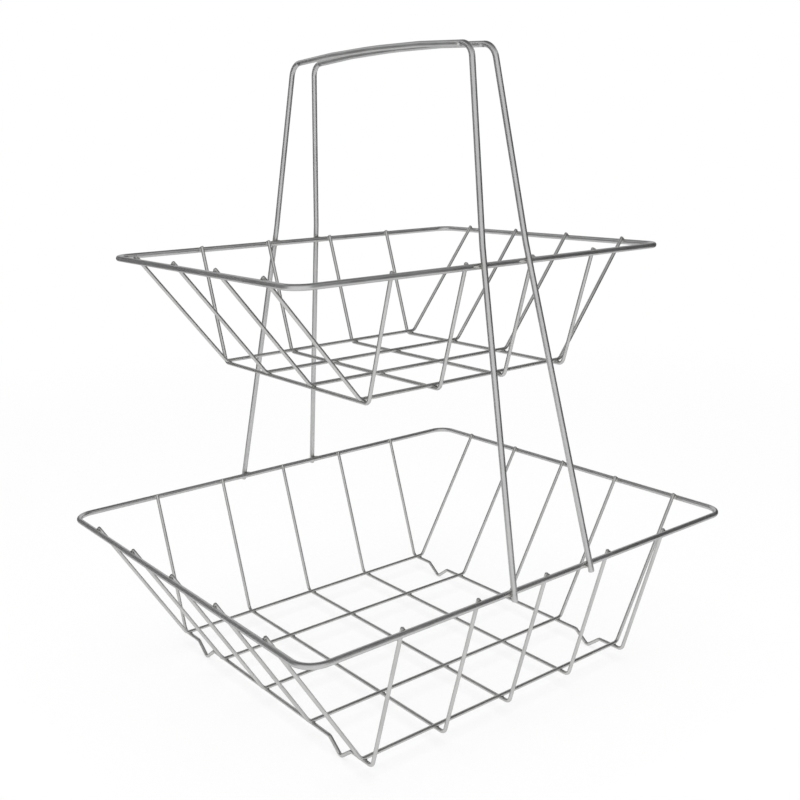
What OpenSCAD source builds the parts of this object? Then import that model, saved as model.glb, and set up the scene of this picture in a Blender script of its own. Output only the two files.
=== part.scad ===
// Two-tier basket of bent and welded round wire, with two handle hoops that carry both tiers.
// X runs along the long sides, Y across them, Z up. The origin lies on the table, under the middle.

/* [Lower basket] */
// Length of the lower rim, between wire centres
lower_rim_l = 400; // [360:1:440]
// Width of the lower rim, between wire centres
lower_rim_w = 342; // [310:1:380]
// Bend radius of the lower rim's corners, at the wire centre
lower_corner_r = 15; // [10:1:24]
// Depth from the lower rim down to the floor wires
lower_depth = 111; // [90:1:130]
// How far the floor lies inside the rim at each end
lower_end_inset = 70; // [50:1:80]
// How far the floor lies inside the rim at each long side
lower_side_inset = 38.5; // [30:0.5:50]
// Distance of the outer long wires from the bend of the cross wires
lower_long_edge = 4.6; // [3:0.1:12]
// Number of long wires in the lower basket
lower_long_n = 5; // [3:1:7]
// Number of cross wires in the lower basket
lower_cross_n = 5; // [3:1:7]

/* [Upper basket] */
// Length of the upper rim, between wire centres
upper_rim_l = 333; // [300:1:360]
// Width of the upper rim, between wire centres
upper_rim_w = 250; // [225:1:280]
// Bend radius of the upper rim's corners, at the wire centre
upper_corner_r = 12; // [9:1:20]
// Depth from the upper rim down to the floor wires
upper_depth = 87; // [70:1:100]
// How far the floor lies inside the rim at each end
upper_end_inset = 71; // [50:1:80]
// How far the floor lies inside the rim at each long side
upper_side_inset = 31; // [24:0.5:40]
// Distance of the outer long wires from the bend of the cross wires
upper_long_edge = 1.8; // [1:0.1:8]
// Number of long wires in the upper basket
upper_long_n = 4; // [3:1:6]
// Number of cross wires in the upper basket
upper_cross_n = 4; // [3:1:6]
// Height of the upper rim over the lower rim
tier_gap = 212; // [180:1:250]

/* [Wire] */
// Diameter of the rim and handle wire
frame_d = 4.2; // [3.4:0.1:5.2]
// Diameter of the basket wires
mesh_d = 2.8; // [2.2:0.1:3.4]
// Bend radius of the basket wires, at the wire centre
mesh_bend_r = 5; // [4:0.5:7]
// How far one wire is pressed into the other at a weld
weld_sink = 0.3; // [0.1:0.05:0.5]
// Length of basket wire that stands past its weld at the rim
mesh_tip = 2.2; // [1:0.1:5]
// Length of the small taper on each cut wire end
cut_taper = 0.6; // [0.3:0.1:1]

/* [Feet] */
// Distance between the feet of one cross wire
feet_pitch = 192; // [170:1:210]
// Width of a foot along its wire
foot_w = 26; // [20:1:34]
// How far the corner of a foot lies under the floor wire
foot_drop = 10; // [7:0.5:13]
// Bend radius in the feet, at the wire centre
foot_bend_r = 3.5; // [2.5:0.5:4]

/* [Handle] */
// Height of the handle's upper corners over the upper rim
handle_rise = 142; // [120:1:170]
// Length of the top bars, between their corners
bar_l = 211; // [170:1:220]
// Distance between the two top bars, centre to centre
bar_gap = 20; // [14:1:40]
// Height of the middle of the top bars over their corners
bar_crown = 4.2; // [2:0.2:7]
// Bend radius of the handle's upper corners, at the wire centre
handle_corner_r = 11; // [8:1:18]
// Distance between the two legs on one side, at the lower rim
leg_spread = 74.6; // [60:1:110]
// Height over the upper rim at which the legs bend inwards
leg_bend_rise = 12; // [9:1:30]
// Bend radius of that bend, at the wire centre
leg_bend_r = 60; // [30:5:90]
// Length of leg below its weld to the lower rim
leg_tail = 5.5; // [4:0.5:12]
// Radius of the weld bead beside each leg, at its thick end
bead_r = 1.9; // [1.5:0.1:2.3]
// Length of the weld bead along the rim
bead_l = 7; // [5:0.5:9]

/* [Hidden] */
$fn = 48;
steel = [0.78, 0.79, 0.80];
bright_steel = [0.86, 0.87, 0.88];
weld_steel = [0.92, 0.92, 0.90];
hair = 0.3;      // margin between a weld and the start of a bend
cut_share = 0.7; // width of a cut wire end, as a share of the wire

// The two baskets follow the same rules, so their sizes are looked up by tier: 0 is lower, 1 is upper
rim_l = [lower_rim_l, upper_rim_l];
rim_w = [lower_rim_w, upper_rim_w];
corner_r = [lower_corner_r, upper_corner_r];
depth = [lower_depth, upper_depth];
floor_l = [lower_rim_l - 2 * lower_end_inset, upper_rim_l - 2 * upper_end_inset];
floor_w = [lower_rim_w - 2 * lower_side_inset, upper_rim_w - 2 * upper_side_inset];
long_edge = [lower_long_edge, upper_long_edge];
long_n = [lower_long_n, upper_long_n];
cross_n = [lower_cross_n, upper_cross_n];

// A weld brings two wire centres this close
rim_weld = (frame_d + mesh_d) / 2 - weld_sink;
leg_weld = frame_d - weld_sink;
floor_weld = mesh_d - weld_sink;

// Heights of the wire centres, from the table up
foot_slope = atan(foot_drop / (foot_w / 2));
foot_reach = foot_drop - foot_bend_r * (1 / cos(foot_slope) - 1);
cross_z = [mesh_d / 2 + foot_reach, mesh_d / 2 + foot_reach + lower_depth + tier_gap - upper_depth];
rim_z = [cross_z[0] + lower_depth, cross_z[1] + upper_depth];
long_z = [cross_z[0] + floor_weld, cross_z[1] + floor_weld];
top_z = rim_z[1] + handle_rise;

// Angle and length of a line from the origin that passes a point at the given distance on its left
function pass_angle(p, gap) = atan2(p[1], p[0]) + asin(gap / norm(p));
function pass_length(p, gap) = sqrt(p * p - gap * gap);
function polar(len, angle) = len * [cos(angle), sin(angle)];

// Rise of a basket wall's wires, seen from the bend at the floor
function end_angle(t) = pass_angle([rim_l[t] - floor_l[t], 2 * (rim_z[t] - long_z[t])] / 2, rim_weld);
function side_angle(t) = pass_angle([rim_w[t] - floor_w[t], 2 * (rim_z[t] - cross_z[t])] / 2, rim_weld);
function end_length(t) = pass_length([rim_l[t] - floor_l[t], 2 * (rim_z[t] - long_z[t])] / 2, rim_weld);
function side_length(t) = pass_length([rim_w[t] - floor_w[t], 2 * (rim_z[t] - cross_z[t])] / 2, rim_weld);

// Outer wires sit on the straight part of the wires they cross; the others share the space evenly
function outer_x(t) = floor_l[t] / 2 - mesh_bend_r * tan(end_angle(t) / 2) - hair;
function outer_y(t) = floor_w[t] / 2 - mesh_bend_r * tan(side_angle(t) / 2) - long_edge[t];
function cross_x(t, i) = outer_x(t) * (2 * (i - 1) / (cross_n[t] - 1) - 1);
function long_y(t, i) = outer_y(t) * (2 * (i - 1) / (long_n[t] - 1) - 1);

// ---- Bent wire: straight lengths and round bends, each placed at the end of the one before ----

function toward(a, b) = (b - a) / norm(b - a);
function heading(a, b) = atan2(b[1] - a[1], b[0] - a[0]);
function half_turn(angle) = angle > 180 ? angle - 360 : angle < -180 ? angle + 360 : angle;
function turn(a, b, c) = half_turn(heading(b, c) - heading(a, b));
function setback(turned, r) = r * tan(abs(turned) / 2);

// The turn at each point of path p, none at its ends
function turns(p) = [for (i = [0 : len(p) - 1]) i == 0 || i == len(p) - 1 ? 0 : turn(p[i - 1], p[i], p[i + 1])];

module straight(length, d) {
    rotate([0, 90, 0]) cylinder(h = length, d = d);
}

// A length that ends in a cut, slightly tapered by deburring
module cut_length(length, d, taper) {
    straight(length - taper, d);
    translate([length - taper, 0, 0]) rotate([0, 90, 0]) cylinder(h = taper, d1 = d, d2 = d * cut_share);
}

module bend(turned, r, d) {
    mirror([0, turned < 0 ? 1 : 0, 0]) translate([0, r, 0]) rotate([0, 0, -90])
        rotate_extrude(angle = abs(turned)) translate([r, 0]) circle(d = d);
}

module after_bend(turned, r) {
    side = sign(turned) * r;
    translate([0, side, 0]) rotate([0, 0, turned]) translate([0, -side, 0]) children();
}

// Lays the wire from point i of its path on: the bend there, then the length up to the next bend
module lay(p, turned, r, d, taper, i = 0) {
    length = norm(p[i + 1] - p[i]) - setback(turned[i], r[i]) - setback(turned[i + 1], r[i + 1]);
    if (turned[i] != 0) bend(turned[i], r[i], d);
    after_bend(turned[i], r[i]) {
        if (i == len(p) - 2) cut_length(length, d, taper);
        else {
            straight(length, d);
            translate([length, 0, 0]) lay(p, turned, r, d, taper, i + 1);
        }
    }
}

// A wire alike on both sides of x = 0, from the right half of its path and the bend radius at each point.
// It is drawn in metres and scaled up, so that its bends and lengths meet without a gap.
metre = 1000;
module wire(p, r, d) {
    translate([0, p[0][1], 0]) scale(metre) for (side = [0, 1]) mirror([side, 0, 0])
        lay(p / metre, turns(p), r / metre, d / metre, cut_taper / metre);
}

// ---- Rims ----

module rim_side(t, side) {
    x = rim_l[t] / 2 - corner_r[t];
    translate([-x, side * rim_w[t] / 2, rim_z[t]]) straight(2 * x, frame_d);
}

module rim_end(t, side) {
    y = rim_w[t] / 2 - corner_r[t];
    translate([side * rim_l[t] / 2, -y, rim_z[t]]) rotate([0, 0, 90]) straight(2 * y, frame_d);
}

module rim(t) {
    x = rim_l[t] / 2 - corner_r[t];
    y = rim_w[t] / 2 - corner_r[t];
    color(bright_steel) union() {
        for (side = [-1, 1]) {
            rim_side(t, side);
            rim_end(t, side);
        }
        for (quarter = [[x, y, 0], [-x, y, 90], [-x, -y, 180], [x, -y, 270]])
            translate([quarter[0], quarter[1], rim_z[t]]) rotate([0, 0, quarter[2]])
                rotate_extrude(angle = 90) translate([corner_r[t], 0]) circle(d = frame_d);
    }
}

// ---- Basket wires ----

// The floor bend, and the cut end that stands past the weld at the rim
function wall(corner, length, angle) = [corner, corner + polar(length + mesh_tip, angle)];

module long_path(t) {
    p = concat([[0, 0]], wall([floor_l[t] / 2, 0], end_length(t), end_angle(t)));
    translate([0, 0, long_z[t]]) rotate([90, 0, 0]) wire(p, [0, mesh_bend_r, 0], mesh_d);
}

// A cross wire; the floor length of a footed one dips into two pointed feet
module cross_path(t, footed) {
    inner = (feet_pitch - foot_w) / 2;
    foot = footed ? [[inner, 0], [inner + foot_w / 2, -foot_drop], [inner + foot_w, 0]] : [];
    foot_r = [for (corner = foot) foot_bend_r];
    p = concat([[0, 0]], foot, wall([floor_w[t] / 2, 0], side_length(t), side_angle(t)));
    translate([0, 0, cross_z[t]]) rotate([90, 0, 90]) wire(p, concat([0], foot_r, [mesh_bend_r, 0]), mesh_d);
}

module long_wire(t, i) {
    color(steel) difference() {
        translate([0, long_y(t, i), 0]) long_path(t);
        for (side = [-1, 1]) rim_end(t, side);
    }
}

module cross_wire(t, i) {
    color(steel) difference() {
        translate([cross_x(t, i), 0, 0]) cross_path(t, t == 0 && (i == 1 || i == cross_n[t]));
        for (side = [-1, 1]) rim_side(t, side);
        for (j = [1 : long_n[t]]) translate([-floor_l[t] / 2, long_y(t, j), long_z[t]])
            straight(floor_l[t], mesh_d);
    }
}

// ---- Handle ----

// Each hoop is bent flat, then leans by this angle so that the legs spread downwards
hoop_drop = top_z - rim_z[0];
lean = atan((leg_spread - bar_gap) / 2 / hoop_drop);

// Side view of a leg: it runs outside both rims, parallel to the line between them
leg_angle = atan2(rim_z[1] - rim_z[0], (rim_w[1] - rim_w[0]) / 2);
leg_out = leg_weld * [sin(leg_angle), -cos(leg_angle)];
low_weld = [rim_w[0] / 2, rim_z[0]] + leg_out;
high_weld = [rim_w[1] / 2, rim_z[1]] + leg_out;
leg_end = low_weld - leg_tail * toward(low_weld, high_weld);
leg_knee = high_weld + leg_bend_rise / sin(leg_angle) * toward(low_weld, high_weld);
bar_end = [bar_l / 2, top_z];

// The hoop's path in its leaning plane, measured from the height of the bar's ends
function in_plane(p) = [p[0], (p[1] - top_z) / cos(lean)];
bow = [bar_l / 4, bar_crown];
hoop_points = [[0, bar_crown], bow, in_plane(bar_end), in_plane(leg_knee), in_plane(leg_end)];
bow_turn = turns(hoop_points)[1];
corner_turn = turns(hoop_points)[2];
bow_r = (norm(hoop_points[2] - bow) - setback(corner_turn, handle_corner_r) - hair) / tan(abs(bow_turn) / 2);

module hoop_path() {
    wire(hoop_points, [0, bow_r, handle_corner_r, leg_bend_r, 0], frame_d);
}

// Moves its children from the plane of a hoop to where the hoop stands
module lean_out(side) {
    translate([side * bar_gap / 2, 0, top_z]) rotate([0, -side * lean, 0]) rotate([90, 0, 90]) children();
}

module hoop(side) {
    color(bright_steel) difference() {
        lean_out(side) hoop_path();
        for (t = [0, 1]) for (y = [-1, 1]) rim_side(t, y);
    }
}

// The straight part of one leg
module leg_rod(side, y) {
    low = in_plane(leg_end);
    high = in_plane(leg_knee);
    lean_out(side) mirror([y < 0 ? 1 : 0, 0, 0]) translate([low[0], low[1], 0])
        rotate([0, 0, heading(low, high)]) straight(norm(high - low), frame_d);
}

// Outline of a weld bead, from its axis: it runs out thin along the rim
bead_outline = [[0, 0], [1, 0], [0.94, 0.3], [0.76, 0.55], [0.52, 0.76], [0.26, 0.92], [0.08, 0.99], [0, 1]];

// A weld bead lies in the corner between leg and rim, on one side of the leg
module bead(t, side, y) {
    weld = t == 0 ? low_weld : high_weld;
    leg_x = bar_gap / 2 + (top_z - weld[1]) * tan(lean);
    mid = weld - leg_out / 2;
    difference() {
        translate([side * leg_x + y * frame_d / 4, y * mid[0], mid[1]]) rotate([0, 90 * y, 0])
            rotate_extrude() polygon([for (p = bead_outline) [p[0] * bead_r, p[1] * bead_l]]);
        rim_side(t, y);
        leg_rod(side, y);
    }
}

module beads(t) {
    color(weld_steel) for (side = [-1, 1]) for (y = [-1, 1]) bead(t, side, y);
}

TIERS = ["lower", "upper"];

rim(0);  // lower_rim
rim(1);  // upper_rim
for (t = [0, 1]) for (i = [1 : long_n[t]])
    long_wire(t, i);
for (t = [0, 1]) for (i = [1 : cross_n[t]])
    cross_wire(t, i);
hoop(-1);  // handle_left
hoop(1);  // handle_right
beads(0);  // lower_handle_welds
beads(1);  // upper_handle_welds
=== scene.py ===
import math

import bpy
import numpy as np
from mathutils import Matrix, Vector


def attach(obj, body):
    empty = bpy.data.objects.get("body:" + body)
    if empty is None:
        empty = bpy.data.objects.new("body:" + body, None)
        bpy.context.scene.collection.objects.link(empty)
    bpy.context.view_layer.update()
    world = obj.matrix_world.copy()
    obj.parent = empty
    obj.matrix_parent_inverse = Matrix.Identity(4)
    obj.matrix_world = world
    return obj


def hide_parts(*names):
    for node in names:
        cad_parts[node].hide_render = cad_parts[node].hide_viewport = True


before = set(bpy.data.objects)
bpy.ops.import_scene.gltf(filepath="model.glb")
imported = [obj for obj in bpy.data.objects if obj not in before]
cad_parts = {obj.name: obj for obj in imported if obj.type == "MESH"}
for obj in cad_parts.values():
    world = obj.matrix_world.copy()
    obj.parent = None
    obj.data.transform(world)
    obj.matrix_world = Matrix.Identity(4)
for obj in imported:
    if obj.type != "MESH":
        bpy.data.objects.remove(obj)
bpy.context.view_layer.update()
print("frame loaded:", len(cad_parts), "solids")

mm = 0.001

# Both baskets are drawn by the same functions; every length is in mm, as in the drawing
lowerBasket = {
    "name": "lower",
    "rimLength": 400, "rimWidth": 342, "rimCorner": 15,
    "floorLength": 260, "floorWidth": 265,
    "crossHeight": 10.484, "longHeight": 12.984, "rimHeight": 121.484,
    "endSlope": 58.59, "endWall": 129.08,
    "sideSlope": 72.43, "sideWall": 117.44,
    "crossPlaces": [-126.89, -63.445, 0, 63.445, 126.89],
    "longPlaces": [-124.24, -62.12, 0, 62.12, 124.24],
    "footed": [0, 4],
}
upperBasket = {
    "name": "upper",
    "rimLength": 333, "rimWidth": 250, "rimCorner": 12,
    "floorLength": 191, "floorWidth": 188,
    "crossHeight": 246.484, "longHeight": 248.984, "rimHeight": 333.484,
    "endSlope": 51.62, "endWall": 110.32,
    "sideSlope": 72.37, "sideWall": 92.3,
    "crossPlaces": [-92.78, -30.927, 30.927, 92.78],
    "longPlaces": [-88.54, -29.513, 29.513, 88.54],
    "footed": [],
}
wireStock = {
    "frameRadius": 2.1, "basketRadius": 1.4,
    "basketBend": 5, "tip": 2.2, "pressedIn": 0.3,
    "ringStep": 4.5,  # spacing of the rings along straight wire
    "bendStep": 7,  # degrees of bend between rings
    "rimCornerSteps": 18,
    "frameSides": 24, "basketSides": 18,
    "endDome": 0.05,  # how far a cut end bulges
}


def along(angle, length):
    return Vector((math.cos(math.radians(angle)), math.sin(math.radians(angle)))) * length


def bentLine(corners, bends):
    # Straight lengths with round bends; bends[i] is the bend radius at corners[i]
    corners = [Vector(c) for c in corners]
    line = [corners[0]]
    for before, corner, after, radius in zip(corners, corners[1:], corners[2:], bends[1:]):
        goingIn, goingOut = (corner - before).normalized(), (after - corner).normalized()
        turn = math.atan2(goingIn.x * goingOut.y - goingIn.y * goingOut.x, goingIn.dot(goingOut))
        start = corner - goingIn * radius * math.tan(abs(turn) / 2)
        side = Vector((-goingIn.y, goingIn.x)) * math.copysign(radius, turn)
        centre = start + side
        steps = max(2, math.ceil(math.degrees(abs(turn)) / wireStock["bendStep"]))
        for i in range(steps + 1):
            a = turn * i / steps
            spoke = -side
            line.append(centre + Vector((spoke.x * math.cos(a) - spoke.y * math.sin(a),
                                         spoke.x * math.sin(a) + spoke.y * math.cos(a))))
    line.append(corners[-1])
    return line


def evenRings(line, closed=False):
    # More rings on the long straight lengths
    pairs = list(zip(line, line[1:] + line[:1])) if closed else list(zip(line, line[1:]))
    rings = []
    for a, b in pairs:
        parts = max(1, round((b - a).length / wireStock["ringStep"]))
        rings += [a.lerp(b, i / parts) for i in range(parts)]
    return rings if closed else rings + [line[-1]]


def mirrored(half):
    return [(-x, y) for x, y in reversed(half[1:])] + half


# A cut end, from the wire inwards: (distance from the end in mm, share of the radius)
cutEnd = [(0, 0.66), (0.07, 0.76), (0.2, 0.86), (0.42, 0.95), (0.75, 1)]


def drawWire(points, planeNormal, radius, sides, closed=False, wander=None):
    # A round wire along points in mm: its corners, its faces, and each corner's place on the wire
    normal = Vector(planeNormal).normalized()
    points = [Vector(p) for p in points]
    count = len(points)
    if closed:
        heading = [(points[(i + 1) % count] - points[i - 1]).normalized() for i in range(count)]
        shares = [1] * count
    else:
        first, last = (points[1] - points[0]).normalized(), (points[-1] - points[-2]).normalized()
        head = [(points[0] + first * d, share) for d, share in cutEnd]
        tail = [(points[-1] - last * d, share) for d, share in reversed(cutEnd)]
        points = [p for p, s in head] + points[1:-1] + [p for p, s in tail]
        shares = [s for p, s in head] + [1] * (count - 2) + [s for p, s in tail]
        count = len(points)
        heading = [(points[min(i + 1, count - 1)] - points[max(i - 1, 0)]).normalized()
                   for i in range(count)]
    run = [0]
    for a, b in zip(points, points[1:]):
        run.append(run[-1] + (b - a).length)
    if wander:
        total = run[-1]
        moved = []
        for p, h, s in zip(points, heading, run):
            side = normal.cross(h)
            moved.append(p + normal * wander(s, total, 0) + side * wander(s, total, 1))
        points = moved
    corners, places = [], []
    for p, h, share, s in zip(points, heading, shares, run):
        side = normal.cross(h).normalized()
        for k in range(sides):
            a = 2 * math.pi * k / sides
            out = (side * math.cos(a) + normal * math.sin(a)) * radius * share
            corners.append(p + out)
            places.append((radius * math.cos(a), radius * math.sin(a), s))
    faces = []
    for i in range(count if closed else count - 1):
        a, b = i * sides, ((i + 1) % count) * sides
        for k in range(sides):
            n = (k + 1) % sides
            faces.append((a + k, a + n, b + n, b + k))
    if not closed:
        dome = wireStock["endDome"]
        for ring, tip, flip in ((0, points[0] - heading[0] * dome, True),
                                (count - 1, points[-1] + heading[-1] * dome, False)):
            corners.append(tip)
            places.append((0, 0, run[ring]))
            for k in range(sides):
                a, b = ring * sides + k, ring * sides + (k + 1) % sides
                faces.append((b, a, len(corners) - 1) if flip else (a, b, len(corners) - 1))
    return corners, faces, places


# Every spot where two wires are welded, so that the plating can be duller there
weldSpots = []
weldMark = {
    "crossingReach": 1.7, "legReach": 3.4,  # mm
    "core": 1.6,  # over 1, so that the middle of the mark is even
    "tint": 0.55,
}


def makePiece(name, drawn, material, replaced=None):
    # One object from one or more drawn forms
    corners, faces, places = [], [], []
    for someCorners, someFaces, somePlaces in drawn:
        faces += [tuple(i + len(corners) for i in f) for f in someFaces]
        corners += someCorners
        places += somePlaces
    mesh = bpy.data.meshes.new(name)
    mesh.from_pydata([c * mm for c in corners], [], faces)
    mesh.polygons.foreach_set("use_smooth", [True] * len(mesh.polygons))
    placeNote = mesh.attributes.new("wirePlace", "FLOAT_VECTOR", "POINT")
    placeNote.data.foreach_set("vector", np.array(places, np.float32).ravel())
    at = np.array([tuple(c) for c in corners])
    heat = np.zeros(len(at))
    for spot, reach in weldSpots:
        apart = np.linalg.norm(at - np.array(spot), axis=1)
        heat = np.maximum(heat, np.clip(weldMark["core"] - apart / reach, 0, 1))
    heatNote = mesh.attributes.new("weldHeat", "FLOAT", "POINT")
    heatNote.data.foreach_set("value", heat.astype(np.float32))
    mesh.materials.append(material)
    piece = bpy.data.objects.new(name, mesh)
    bpy.context.scene.collection.objects.link(piece)
    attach(piece, "root")
    if replaced:
        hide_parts(replaced)


# Finish of the plated wire
chromeFrame = {
    "name": "chrome_frame_wire", "light": (0.585, 0.59, 0.585), "dark": (0.49, 0.495, 0.49),
    "burnt": (0.46, 0.45, 0.43), "edge": (0.62, 0.62, 0.62),
    "smooth": 0.3, "rough": 0.42, "weldRough": 0.45,
    "streaks": 0.10, "ripple": 0.16,
}
chromeBasket = {
    "name": "chrome_basket_wire", "light": (0.605, 0.610, 0.599), "dark": (0.492, 0.492, 0.487),
    "burnt": (0.46, 0.45, 0.43), "edge": (0.60, 0.60, 0.60),
    "smooth": 0.3, "rough": 0.42, "weldRough": 0.45,
    "streaks": 0.14, "ripple": 0.18,
}
chromeWeld = {
    "name": "chrome_weld", "light": (0.55, 0.545, 0.53), "dark": (0.43, 0.425, 0.41),
    "burnt": (0.40, 0.39, 0.37), "edge": (0.60, 0.60, 0.60),
    "smooth": 0.18, "rough": 0.34, "weldRough": 0.36,
    "streaks": 0.0, "ripple": 0.35,
}

# Marks that all the plated wire has; clouds are (scale, detail, roughness)
marks = {
    "drawnOut": 0.025,  # the wire was drawn through a die, so its marks run along it
    "streak": (3.2, 4, 0.6), "ripple": (0.35, 2, 0.5), "patch": (38, 3, 0.55), "fleck": (900, 2, 0.6),
    "patchShare": 0.6, "streakShare": 0.4,
    "tones": (0.36, 0.62), "wear": (0.8, 1.25),
    "fleckDepth": 0.05, "relief": 0.6, "depth": 0.0003,
}


def plate(look):
    material = bpy.data.materials.new(look["name"])
    material.use_nodes = True
    nodes, links = material.node_tree.nodes, material.node_tree.links
    shader = nodes["Principled BSDF"]
    shader.inputs["Metallic"].default_value = 1
    shader.inputs["Specular Tint"].default_value = (*look["edge"], 1)

    def put(kind, **values):
        node = nodes.new(kind)
        for key, value in values.items():
            setattr(node, key, value)
        return node

    def cloud(vector, kind):
        scale, detail, roughness = marks[kind]
        node = put("ShaderNodeTexNoise")
        node.inputs["Scale"].default_value = scale
        node.inputs["Detail"].default_value = detail
        node.inputs["Roughness"].default_value = roughness
        links.new(vector, node.inputs["Vector"])
        return node.outputs["Fac"]

    def blend(share, a, b):
        node = put("ShaderNodeMix", data_type="RGBA")
        links.new(share, node.inputs[0])
        for socket, value in ((node.inputs[6], a), (node.inputs[7], b)):
            if isinstance(value, tuple):
                socket.default_value = (*value, 1)
            else:
                links.new(value, socket)
        return node.outputs[2]

    def spread(value, low, high, toLow=0.0, toHigh=1.0):
        node = put("ShaderNodeMapRange")
        links.new(value, node.inputs[0])
        for i, v in enumerate((low, high, toLow, toHigh)):
            node.inputs[i + 1].default_value = v
        return node.outputs[0]

    def sumOf(a, b, operation="ADD"):
        node = put("ShaderNodeMath", operation=operation)
        for socket, value in ((node.inputs[0], a), (node.inputs[1], b)):
            if isinstance(value, (int, float)):
                socket.default_value = value
            else:
                links.new(value, socket)
        return node.outputs[0]

    place = put("ShaderNodeAttribute", attribute_name="wirePlace").outputs["Vector"]
    heat = put("ShaderNodeAttribute", attribute_name="weldHeat").outputs["Fac"]
    where = put("ShaderNodeTexCoord").outputs["Object"]
    drawn = put("ShaderNodeMapping")
    drawn.inputs["Scale"].default_value = (1, 1, marks["drawnOut"])
    links.new(place, drawn.inputs["Vector"])
    streak = cloud(drawn.outputs[0], "streak")
    ripple = cloud(place, "ripple")
    patch = cloud(where, "patch")
    fleck = cloud(where, "fleck")

    tone = sumOf(sumOf(patch, marks["patchShare"], "MULTIPLY"), sumOf(streak, marks["streakShare"], "MULTIPLY"))
    clean = blend(spread(tone, *marks["tones"]), look["dark"], look["light"])
    burn = sumOf(heat, weldMark["tint"], "MULTIPLY")
    links.new(blend(burn, clean, look["burnt"]), shader.inputs["Base Color"])
    worn = spread(sumOf(patch, streak), *marks["wear"], look["smooth"], look["rough"])
    dulled = sumOf(heat, look["weldRough"] - look["rough"], "MULTIPLY")
    links.new(sumOf(worn, dulled), shader.inputs["Roughness"])

    relief = sumOf(sumOf(streak, look["streaks"], "MULTIPLY"), sumOf(ripple, look["ripple"], "MULTIPLY"))
    relief = sumOf(relief, sumOf(fleck, sumOf(heat, marks["fleckDepth"], "MULTIPLY"), "MULTIPLY"))
    bump = put("ShaderNodeBump")
    bump.inputs["Strength"].default_value = marks["relief"]
    bump.inputs["Distance"].default_value = marks["depth"]
    links.new(relief, bump.inputs["Height"])
    links.new(bump.outputs["Normal"], shader.inputs["Normal"])
    return material


frameChrome, basketChrome, weldChrome = plate(chromeFrame), plate(chromeBasket), plate(chromeWeld)
print("plating ready")


# Bent wire isn't dead straight: each piece wanders a little, by an amount in mm
sway = {
    "amount": 0.12,
    "slow": 5.1, "slowShare": 0.6, "quick": 11.7, "quickShare": 0.4,  # waves along the wire
    "seedStep": 1.7, "axisStep": 2.3, "quickStep": 2.1,  # keep the wires unlike each other
}


def wanderOf(seed, upDown=1.0):
    def wander(s, total, axis):
        size = (1.0, upDown)[axis] * sway["amount"]
        a = seed * sway["seedStep"] + axis * sway["axisStep"]
        slow = math.sin(s / total * sway["slow"] + a) * sway["slowShare"]
        quick = math.sin(s / total * sway["quick"] + a * sway["quickStep"]) * sway["quickShare"]
        return size * (slow + quick)
    return wander


def wallLine(half, slope, wall):
    # The wire rises from its last corner to the rim and stands past it by its tip
    corner = Vector(half[-1])
    return half + [tuple(corner + along(slope, wall + wireStock["tip"]))]


def longLine(basket):
    half = wallLine([(0, 0), (basket["floorLength"] / 2, 0)], basket["endSlope"], basket["endWall"])
    line = mirrored(half)
    line.remove((0, 0))  # the floor length is one straight run
    return evenRings(bentLine(line, [0] + [wireStock["basketBend"]] * 2 + [0]))


# The pointed feet in the outer cross wires: each dips below the floor and rises again
foot = {"pitch": 192, "width": 26, "drop": 10, "bend": 3.5}


def crossLine(basket, footed):
    half = [(0, 0)]
    bends = []
    if footed:
        inner = (foot["pitch"] - foot["width"]) / 2
        half += [(inner, 0), (inner + foot["width"] / 2, -foot["drop"]), (inner + foot["width"], 0)]
        bends = [foot["bend"]] * 3
    half.append((basket["floorWidth"] / 2, 0))
    half = wallLine(half, basket["sideSlope"], basket["sideWall"])
    bends.append(wireStock["basketBend"])
    line = mirrored(half)
    line.remove((0, 0))
    return evenRings(bentLine(line, [0] + bends[::-1] + bends + [0]))


def contactOf(rim, slope, gap):
    # Contact between a rim and a wire that leans against its inside
    out, up = -math.sin(math.radians(slope)), math.cos(math.radians(slope))
    return rim[0] + out * gap, rim[1] + up * gap


# Each weld nugget: its place, the way it faces, and the way that one of its two wires runs
rimContact = wireStock["frameRadius"] - wireStock["pressedIn"] / 2
nuggets = {"lower": [], "upper": []}
floorNuggets = {"lower": [], "upper": []}
for basket in (lowerBasket, upperBasket):
    for y in basket["longPlaces"]:
        for side in (-1, 1):
            x, z = contactOf((basket["rimLength"] / 2, basket["rimHeight"]), basket["endSlope"], rimContact)
            slope = math.radians(basket["endSlope"])
            facing = (-side * math.sin(slope), 0, math.cos(slope))
            nuggets[basket["name"]].append(((side * x, y, z), facing, (0, 1, 0)))
    for x in basket["crossPlaces"]:
        for side in (-1, 1):
            y, z = contactOf((basket["rimWidth"] / 2, basket["rimHeight"]), basket["sideSlope"], rimContact)
            slope = math.radians(basket["sideSlope"])
            facing = (0, -side * math.sin(slope), math.cos(slope))
            nuggets[basket["name"]].append(((x, side * y, z), facing, (1, 0, 0)))
        for y in basket["longPlaces"]:
            z = (basket["crossHeight"] + basket["longHeight"]) / 2
            floorNuggets[basket["name"]].append(((x, y, z), (0, 0, 1), (1, 0, 0)))
    weldSpots += [(spot[0], weldMark["crossingReach"])
                  for spot in nuggets[basket["name"]] + floorNuggets[basket["name"]]]

# The hoops: half of one, in its own leaning plane, measured from the height of the bar's ends
hoop = {
    "topHeight": 475.484, "barGap": 20, "lean": 4.4098, "crown": 4.2, "bar": 211, "bowBend": 1115,
    "cornerBend": 11, "kneeBend": 60, "legSlope": 102.242, "kneeRise": 12, "tail": 5.5,
    "lowWeld": (174.81, 122.31), "highWeld": (128.81, 334.31), "weldGap": 3.9,
}
beads = {"length": 7, "thick": 1.9, "lump": 0.07, "lumpStep": 0.9, "lumpSeed": 1.3}

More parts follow.
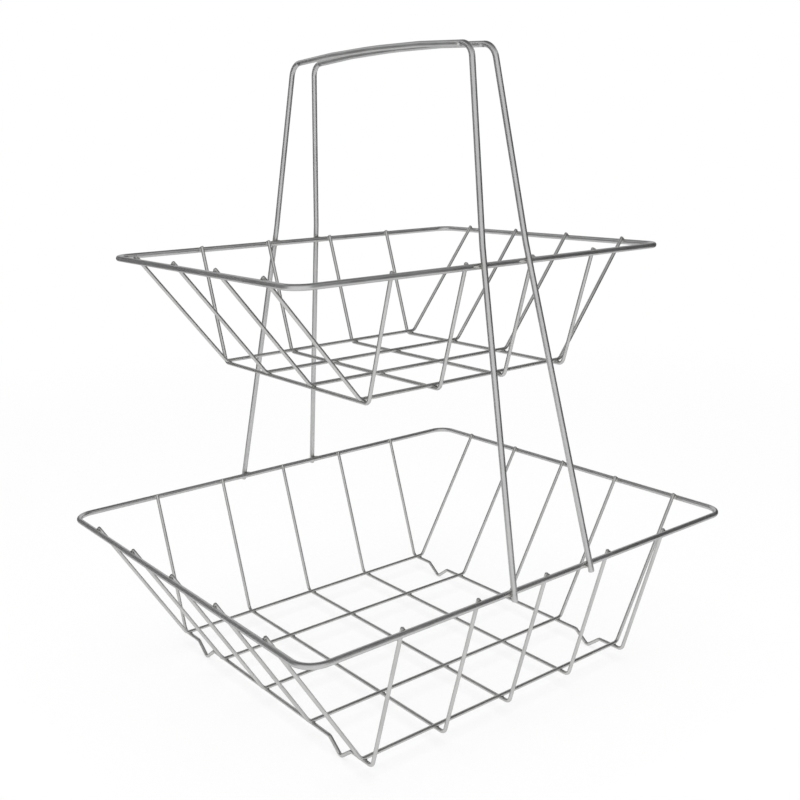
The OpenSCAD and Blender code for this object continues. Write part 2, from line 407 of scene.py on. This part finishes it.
legStep = along(hoop["legSlope"], 1)
legSpread = math.tan(math.radians(hoop["lean"]))
beadSpots = {"lower": [], "upper": []}
for basket, weld in ((lowerBasket, "lowWeld"), (upperBasket, "highWeld")):
    y, z = hoop[weld]
    legX = hoop["barGap"] / 2 + (hoop["topHeight"] - z) * legSpread
    inward = Vector((-legStep.y, legStep.x)) * hoop["weldGap"] / 2  # from the leg's centre towards the rim
    for side in (-1, 1):
        for end in (-1, 1):
            spot = Vector((side * legX, end * (y + inward.x), z + inward.y))
            beadSpots[basket["name"]].append((spot, end))
            weldSpots.append((tuple(spot), weldMark["legReach"]))
print("weld spots:", len(weldSpots))


def drawRim(basket):
    x, y, r = basket["rimLength"] / 2, basket["rimWidth"] / 2, basket["rimCorner"]
    steps = wireStock["rimCornerSteps"]
    ring = []
    for cx, cy, start in ((x - r, y - r, 0), (r - x, y - r, 90), (r - x, r - y, 180), (x - r, r - y, 270)):
        for i in range(steps + 1):
            ring.append(Vector((cx, cy)) + along(start + 90 * i / steps, r))
    ring = [Vector((p.x, p.y, basket["rimHeight"])) for p in evenRings(ring, closed=True)]
    return drawWire(ring, (0, 0, 1), wireStock["frameRadius"], wireStock["frameSides"], closed=True)


for basket in (lowerBasket, upperBasket):
    name = basket["name"]
    makePiece(name + "_rim_wire", [drawRim(basket)], frameChrome, name + "_rim")
    for i, y in enumerate(basket["longPlaces"]):
        points = [(p.x, y, basket["longHeight"] + p.y) for p in longLine(basket)]
        drawn = drawWire(points, (0, 1, 0), wireStock["basketRadius"], wireStock["basketSides"],
                         wander=wanderOf(i + y))
        makePiece("%s_long_bent_%d" % (name, i + 1), [drawn], basketChrome,
                  "%s_long_wire_%d" % (name, i + 1))
    for i, x in enumerate(basket["crossPlaces"]):
        footed = i in basket["footed"]
        points = [(x, p.x, basket["crossHeight"] + p.y) for p in crossLine(basket, footed)]
        drawn = drawWire(points, (1, 0, 0), wireStock["basketRadius"], wireStock["basketSides"],
                         wander=wanderOf(i + x, upDown=0 if footed else 1))
        makePiece("%s_cross_bent_%d" % (name, i + 1), [drawn], basketChrome,
                  "%s_cross_wire_%d" % (name, i + 1))
    print(name, "basket drawn")


def hoopLine():
    tilt = math.cos(math.radians(hoop["lean"]))
    knee = Vector(hoop["highWeld"]) + legStep * hoop["kneeRise"] / legStep.y
    end = Vector(hoop["lowWeld"]) - legStep * hoop["tail"]
    half = [(hoop["bar"] / 4, hoop["crown"]), (hoop["bar"] / 2, 0)]
    half += [(p.x, (p.y - hoop["topHeight"]) / tilt) for p in (knee, end)]
    bends = [hoop["bowBend"], hoop["cornerBend"], hoop["kneeBend"], 0]
    line = [(-x, y) for x, y in reversed(half)] + half
    return evenRings(bentLine(line, bends[::-1] + bends))


for side, name in ((-1, "handle_left"), (1, "handle_right")):
    tilt = math.radians(hoop["lean"])
    points = [(side * (hoop["barGap"] / 2 - p.y * math.sin(tilt)), p.x, hoop["topHeight"] + p.y * math.cos(tilt))
              for p in hoopLine()]
    normal = (math.cos(tilt), 0, side * math.sin(tilt))
    drawn = drawWire(points, normal, wireStock["frameRadius"], wireStock["frameSides"])
    makePiece(name + "_hoop", [drawn], frameChrome, name)
print("handle hoops drawn")


# Weld metal squeezed out where thin wire crosses: half its width and thickness in mm
rimNugget = {"wide": 1.9, "thick": 0.75, "lobes": 0.18, "step": 2.4}
floorNugget = {"wide": 1.55, "thick": 0.6, "lobes": 0.2, "step": 1.9}
nuggetForm = {"vary": 0.12, "rounds": 14, "rows": 8}


def drawBlob(centre, axes, sizes, lobes):
    # A flattened round blob of weld metal; lobes fill the four corners between crossing wires
    rounds, rows = nuggetForm["rounds"], nuggetForm["rows"]
    centre = Vector(centre)
    axes = [Vector(a).normalized() for a in axes]
    corners, places, faces = [centre + axes[2] * sizes[2]], [(0, 0, 0)], []
    for row in range(1, rows):
        lift = math.pi * row / rows
        for k in range(rounds):
            a = 2 * math.pi * k / rounds
            grow = 1 + lobes * (1 - math.cos(4 * a)) / 2
            out = (axes[0] * math.cos(a) * sizes[0] + axes[1] * math.sin(a) * sizes[1]) * grow * math.sin(lift)
            corners.append(centre + out + axes[2] * sizes[2] * math.cos(lift))
            places.append((math.cos(a), math.sin(a), row))
    corners.append(centre - axes[2] * sizes[2])
    places.append((0, 0, rows))
    for k in range(rounds):
        n = (k + 1) % rounds
        faces.append((0, 1 + k, 1 + n))
        for row in range(rows - 2):
            a, b = 1 + row * rounds, 1 + (row + 1) * rounds
            faces.append((a + k, b + k, b + n, a + n))
        last = 1 + (rows - 2) * rounds
        faces.append((last + k, len(corners) - 1, last + n))
    return corners, faces, places


# A bead's outline from its thick end in the corner beside the leg: (share of length, share of thickness)
beadOutline = [(0, 0.7), (0.06, 0.93), (0.15, 1), (0.3, 0.95), (0.45, 0.84),
               (0.6, 0.7), (0.74, 0.52), (0.86, 0.35), (0.95, 0.19)]


def drawBead(spot, end, seed, rounds=18):
    # Weld metal in the corner between leg and rim, running out thin along the rim
    corners, places, faces = [], [], []
    start = spot + Vector((end * wireStock["frameRadius"] / 2, 0, 0))
    for row, (share, thick) in enumerate(beadOutline):
        for k in range(rounds):
            a = 2 * math.pi * k / rounds
            lump = 1 + beads["lump"] * math.sin(3 * a + seed * beads["lumpSeed"] + row * beads["lumpStep"])
            corners.append(start + Vector((end * share * beads["length"], math.cos(a) * thick * beads["thick"] * lump,
                                           math.sin(a) * thick * beads["thick"] * lump)))
            places.append((math.cos(a), math.sin(a), share * beads["length"]))
    for tip, share in ((start, 0), (start + Vector((end * beads["length"], 0, 0)), 1)):
        corners.append(tip)
        places.append((0, 0, share * beads["length"]))
    last = len(beadOutline) - 1
    for k in range(rounds):
        n = (k + 1) % rounds
        for row in range(last):
            a, b = row * rounds, (row + 1) * rounds
            faces.append((a + k, b + k, b + n, a + n))
        faces.append((k, n, len(corners) - 2))
        faces.append((last * rounds + n, last * rounds + k, len(corners) - 1))
    if end > 0:
        faces = [face[::-1] for face in faces]
    return corners, faces, places


def drawNuggets(spots, nugget):
    drawn = []
    for i, (spot, normal, first) in enumerate(spots):
        second = Vector(normal).cross(Vector(first))
        wide = nugget["wide"] * (1 + nuggetForm["vary"] * math.sin(i * nugget["step"]))
        drawn.append(drawBlob(spot, (first, second, normal), (wide, wide, nugget["thick"]), nugget["lobes"]))
    return drawn


for basket in (lowerBasket, upperBasket):
    name = basket["name"]
    makePiece(name + "_rim_weld_nuggets", drawNuggets(nuggets[name], rimNugget), weldChrome)
    makePiece(name + "_floor_weld_nuggets", drawNuggets(floorNuggets[name], floorNugget), weldChrome)
    drawn = [drawBead(spot, end, seed) for seed, (spot, end) in enumerate(beadSpots[name])]
    makePiece(name + "_leg_weld_beads", drawn, weldChrome, name + "_handle_welds")
print("welds drawn")


# A plain pale floor under a white horizon, with a darker ceiling that the wire mirrors; floor lengths in m
studio = {
    "floorSize": 60, "floorSides": 48, "floorGrey": 0.96,
    "horizon": 1.0, "ceiling": 0.13, "backCeiling": 0.5,
    "backStart": 0.05, "backEnd": 0.45,  # where the ceiling turns lighter behind the camera
    "nearShine": 0.68, "nearEdge": 0.4, "farEdge": 1.5,  # the floor takes shadows only round the basket
    "bandTop": 0.46, "bandFade": 0.38,  # sine of the height over the horizon
}
# Grey cards beside the basket give bright metal its dark edges; lengths in m, heading in degrees
cards = {
    "away": 0.66, "length": 1.46, "height": 0.8, "shift": 0.17,
    "leftGrey": 0.27, "rightGrey": 0.115, "heading": -38.3,
}
# Each lamp: place, what it is aimed at, its size and its watts
lamps = {
    "front_softbox": {"place": (-1.6, -2.0, 1.2), "aim": (0, 0, 0.2), "size": (3.0, 1.6), "watts": 18},
    "overhead_softbox": {"place": (0, 0, 2.6), "aim": (0, 0, 0), "size": (2.4, 2.4), "watts": 36},
}


def whereRaysLook(nodes, links):
    # 1 for what the camera, metal or glass sees; 0 for light that reaches matt surfaces
    path = nodes.new("ShaderNodeLightPath")
    seen = path.outputs["Is Camera Ray"]
    for name in ("Is Glossy Ray", "Is Transmission Ray"):
        node = nodes.new("ShaderNodeMath")
        node.operation = "MAXIMUM"
        links.new(seen, node.inputs[0])
        links.new(path.outputs[name], node.inputs[1])
        seen = node.outputs[0]
    return seen


def makeFloor():
    size = studio["floorSize"]
    mesh = bpy.data.meshes.new("studio_floor")
    sides = studio["floorSides"]
    ring = [along(360 / sides * i, size) for i in range(sides)]
    mesh.from_pydata([(p.x, p.y, 0) for p in ring], [], [tuple(range(sides))])
    material = bpy.data.materials.new("pale_floor")
    material.use_nodes = True
    nodes, links = material.node_tree.nodes, material.node_tree.links
    nodes.clear()
    matt = nodes.new("ShaderNodeBsdfDiffuse")
    matt.inputs["Color"].default_value = (*[studio["floorGrey"]] * 3, 1)
    glow = nodes.new("ShaderNodeEmission")
    glow.inputs["Color"].default_value = (1, 1, 1, 1)
    glow.inputs["Strength"].default_value = studio["horizon"]
    where = nodes.new("ShaderNodeTexCoord")
    away = nodes.new("ShaderNodeVectorMath")
    away.operation = "LENGTH"
    links.new(where.outputs["Object"], away.inputs[0])
    shine = nodes.new("ShaderNodeMapRange")
    shine.interpolation_type = "SMOOTHSTEP"
    for i, value in enumerate((studio["nearEdge"], studio["farEdge"], studio["nearShine"], 1)):
        shine.inputs[i + 1].default_value = value
    links.new(away.outputs["Value"], shine.inputs[0])
    share = nodes.new("ShaderNodeMath")
    share.operation = "MULTIPLY"
    links.new(shine.outputs[0], share.inputs[1])
    links.new(whereRaysLook(nodes, links), share.inputs[0])
    mix = nodes.new("ShaderNodeMixShader")
    out = nodes.new("ShaderNodeOutputMaterial")
    links.new(share.outputs[0], mix.inputs[0])
    links.new(matt.outputs[0], mix.inputs[1])
    links.new(glow.outputs[0], mix.inputs[2])
    links.new(mix.outputs[0], out.inputs[0])
    mesh.materials.append(material)
    floor = bpy.data.objects.new("studio_floor", mesh)
    bpy.context.scene.collection.objects.link(floor)


def makeWorld():
    world = bpy.data.worlds.new("soft_studio")
    bpy.context.scene.world = world
    world.use_nodes = True
    nodes, links = world.node_tree.nodes, world.node_tree.links
    nodes.clear()
    where = nodes.new("ShaderNodeTexCoord")
    split = nodes.new("ShaderNodeSeparateXYZ")
    links.new(where.outputs["Generated"], split.inputs[0])
    height = nodes.new("ShaderNodeMapRange")
    height.interpolation_type = "SMOOTHSTEP"
    height.inputs[1].default_value = studio["bandTop"]
    height.inputs[2].default_value = studio["bandTop"] + studio["bandFade"]
    height.inputs[3].default_value = studio["horizon"]
    links.new(split.outputs["Z"], height.inputs[0])
    a = math.radians(cards["heading"])
    behind = nodes.new("ShaderNodeVectorMath")
    behind.operation = "DOT_PRODUCT"
    links.new(where.outputs["Generated"], behind.inputs[0])
    behind.inputs[1].default_value = (math.sin(a), -math.cos(a), 0)
    back = nodes.new("ShaderNodeMapRange")
    back.interpolation_type = "SMOOTHSTEP"
    for i, value in enumerate((studio["backStart"], studio["backEnd"], studio["ceiling"], studio["backCeiling"])):
        back.inputs[i + 1].default_value = value
    links.new(behind.outputs["Value"], back.inputs[0])
    links.new(back.outputs[0], height.inputs[4])
    sky = nodes.new("ShaderNodeBackground")
    sky.inputs["Color"].default_value = (1, 1, 1, 1)
    links.new(height.outputs[0], sky.inputs["Strength"])
    out = nodes.new("ShaderNodeOutputWorld")
    links.new(sky.outputs[0], out.inputs[0])


def softLamp(name, lamp):
    data = bpy.data.lights.new(name, "AREA")
    data.shape = "RECTANGLE"
    data.size, data.size_y = lamp["size"]
    data.energy = lamp["watts"]
    light = bpy.data.objects.new(name, data)
    light.location = lamp["place"]
    light.rotation_euler = (Vector(lamp["aim"]) - Vector(lamp["place"])).to_track_quat("-Z", "Y").to_euler()
    light.visible_glossy = False  # the wire mirrors the studio's walls, not the lamps
    bpy.context.scene.collection.objects.link(light)


def makeCards():
    for side, name, grey in ((-1, "left_card", cards["leftGrey"]), (1, "right_card", cards["rightGrey"])):
        material = bpy.data.materials.new(name)
        material.use_nodes = True
        paint = material.node_tree.nodes["Principled BSDF"]
        paint.inputs["Base Color"].default_value = (grey, grey, grey, 1)
        paint.inputs["Roughness"].default_value = 1
        a = math.radians(cards["heading"])
        right, ahead = Vector((math.cos(a), math.sin(a), 0)), Vector((-math.sin(a), math.cos(a), 0))
        near = right * side * cards["away"] + ahead * (cards["shift"] - cards["length"] / 2)
        far = near + ahead * cards["length"]
        mesh = bpy.data.meshes.new(name)
        lift = Vector((0, 0, cards["height"]))
        mesh.from_pydata([near, far, far + lift, near + lift], [], [(0, 1, 2, 3)])
        mesh.materials.append(material)
        card = bpy.data.objects.new(name, mesh)
        bpy.context.scene.collection.objects.link(card)
        card.visible_camera = card.visible_diffuse = False  # only the metal's reflections see it
        card.visible_shadow = card.visible_transmission = False


makeFloor()
makeWorld()
for name, lamp in lamps.items():
    softLamp(name, lamp)
makeCards()
print("studio ready")

# The photograph's viewpoint, in m; roll in degrees, lens and sensor in mm
view = {
    "place": (-0.494246, -0.635982, 0.415346), "aim": (0.135212, 0.161093, 0.164553),
    "roll": -1.248, "lens": 47.375, "sensor": 36, "nearest": 0.01, "farthest": 200,
}
camera = bpy.data.objects.new("photo_camera", bpy.data.cameras.new("photo_camera"))
camera.data.lens = view["lens"]
camera.data.sensor_width = view["sensor"]
camera.data.clip_start = view["nearest"]
camera.data.clip_end = view["farthest"]
turned = (Vector(view["aim"]) - Vector(view["place"])).to_track_quat("-Z", "Y").to_matrix().to_4x4()
rolled = Matrix.Rotation(math.radians(view["roll"]), 4, "Z")
camera.matrix_world = Matrix.Translation(view["place"]) @ turned @ rolled
bpy.context.scene.collection.objects.link(camera)
bpy.context.scene.camera = camera
bpy.context.scene.view_settings.view_transform = "Standard"
print("camera placed")
